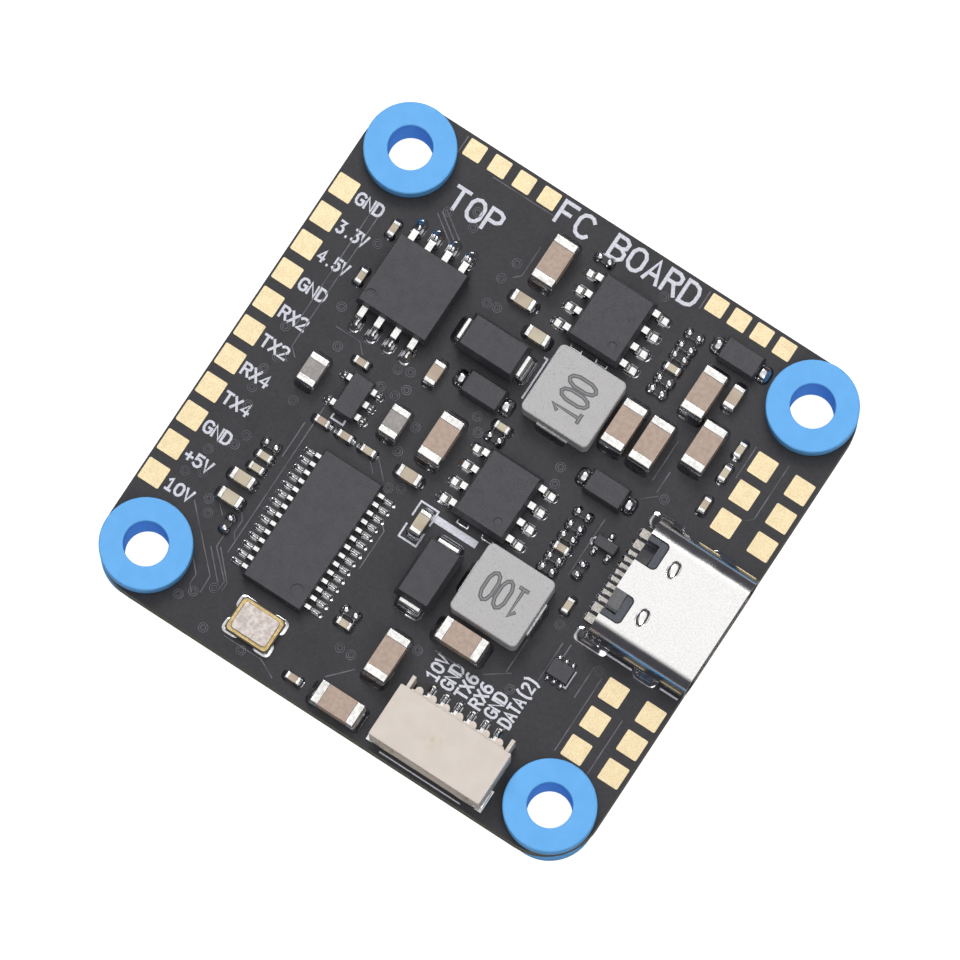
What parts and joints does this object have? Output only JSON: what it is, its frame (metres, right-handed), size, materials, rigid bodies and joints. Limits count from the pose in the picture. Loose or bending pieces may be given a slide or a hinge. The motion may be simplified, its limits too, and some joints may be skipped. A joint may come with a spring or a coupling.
{
  "type": "flight controller board",
  "caption": "Square flight controller board with chips, inductors, edge solder pads, a USB socket, a wire connector and blue rubber grommets in its corner holes.",
  "frame": {"origin": "centre of the mounting hole pattern, on the plane of the grommets' lower faces", "axes": "+Z out of the component side, +X towards the edge with the USB socket, +Y towards the edge with the two groups of four small pads"},
  "size_m": [0.0369, 0.0368, 0.0061],
  "materials": {
    "laminate": "satin black solder mask over glass-epoxy laminate",
    "silicone": "matt sky-blue silicone",
    "gold": "grainy satin gold plating",
    "shell_steel": "smooth bright rolled steel",
    "dark_plastic": "satin black moulding",
    "ivory_plastic": "satin ivory moulding",
    "tin": "bright tin plating",
    "iron_composite": "granular grey pressed iron powder",
    "tan_ceramic": "satin tan-brown fired ceramic",
    "grey_ceramic": "satin grey fired ceramic",
    "white_ceramic": "white fired ceramic",
    "dark_ceramic": "dark fired ceramic",
    "resistor_coat": "glossy black glaze",
    "lid_metal": "satin nickel-plated lid",
    "chip_resin": "fine-grained black moulding resin",
    "led_resin": "clear yellowish resin"
  },
  "bodies": {
    "board": {"buck_chip_a_body": "chip_resin", "buck_chip_a_leads": "tin", "buck_chip_b_body": "chip_resin", "buck_chip_b_leads": "tin", "button_cover": "shell_steel", "button_dome": "shell_steel", "button_frame": "dark_plastic", "button_terminals": "tin", "capacitor_0402_bodies": "tan_ceramic", "capacitor_0402_ends": "tin", "capacitor_0603_bodies": "tan_ceramic", "capacitor_0603_ends": "tin", "capacitor_0805_bodies": "grey_ceramic", "capacitor_0805_ends": "tin", "capacitor_1206_bodies": "tan_ceramic", "capacitor_1206_ends": "tin", "circuit_board": "laminate", "connector_contacts": "tin", "connector_hold_downs": "tin", "connector_housing": "ivory_plastic", "crystal_bases": "dark_ceramic", "crystal_lids": "lid_metal", "crystal_rings": "gold", "crystal_terminals": "gold", "display_chip_body": "chip_resin", "display_chip_leads": "tin", "dual_transistor_body": "chip_resin", "dual_transistor_leads": "tin", "gold_pads_left": "gold", "gold_pads_right": "gold", "gold_pads_top": "gold", "grommets": "silicone", "inductor_a_core": "iron_composite", "inductor_b_core": "iron_composite", "inductor_terminals": "tin", "large_diode_bodies": "chip_resin", "large_diode_terminals": "tin", "led_bases": "white_ceramic", "led_lenses": "led_resin", "memory_chip_body": "chip_resin", "memory_chip_leads": "tin", "motion_sensor": "chip_resin", "pressure_sensor_base": "laminate", "pressure_sensor_lid": "lid_metal", "processor_body": "chip_resin", "processor_leads": "tin", "regulator_bodies": "chip_resin", "regulator_leads": "tin", "resistor_bodies": "white_ceramic", "resistor_coats": "resistor_coat", "resistor_ends": "tin", "small_diode_bodies": "chip_resin", "small_diode_terminals": "tin", "transistor_body": "chip_resin", "transistor_leads": "tin", "usb_contacts": "gold", "usb_insulator": "dark_plastic", "usb_mid_plate": "shell_steel", "usb_shell": "shell_steel"},
    "boot_plunger": {"button_plunger": "ivory_plastic"}
  },
  "joints": [
    {"name": "boot_press", "type": "slide", "parent": "board", "child": "boot_plunger", "axis": [0, 0, 1], "range_m": [0, 0.00015], "stiffness_N_per_m": 2000, "deforming": ["button_dome"]}
  ]
}
